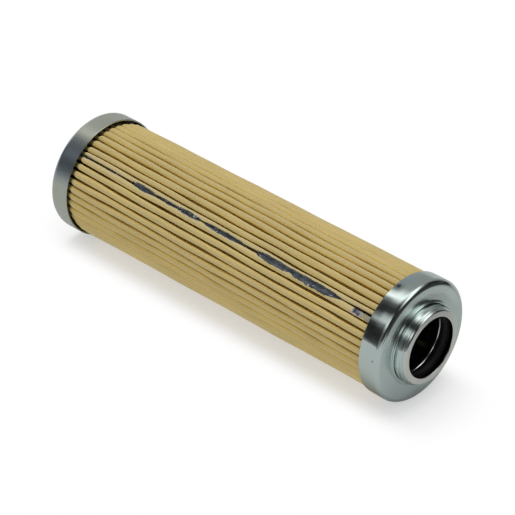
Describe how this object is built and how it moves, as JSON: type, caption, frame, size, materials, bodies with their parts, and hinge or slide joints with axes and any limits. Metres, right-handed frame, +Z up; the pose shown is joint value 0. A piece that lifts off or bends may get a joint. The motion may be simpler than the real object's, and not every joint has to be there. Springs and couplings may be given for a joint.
{
  "type": "pleated filter element",
  "caption": "Slim round oil filter cartridge: bare pleated paper with a glued seam between two pressed steel end caps, one closed, one drawn up into an open neck with a rubber ring inside.",
  "frame": {"origin": "centre of the closed end's outer face, on which the element stands", "axes": "+Z up the element's axis towards the open neck, -Y out through the glued seam of the paper"},
  "size_m": [0.0466, 0.0466, 0.1662],
  "materials": {
    "zinc_steel": "glossy bluish zinc plate",
    "tube_steel": "plain perforated steel",
    "seal_rubber": "black, lightly oiled",
    "resin": "dark grey resin",
    "filter_paper": "tan resin-treated cellulose",
    "seam_glue": "dark grey, glossy, uneven"
  },
  "bodies": {
    "root": {"closed_end_cap": "zinc_steel", "open_end_cap": "zinc_steel", "core_tube": "tube_steel", "neck_seal": "seal_rubber", "open_end_resin": "resin", "closed_end_resin": "resin", "pleated_media": "filter_paper", "seam_adhesive": "seam_glue"}
  },
  "joints": []
}
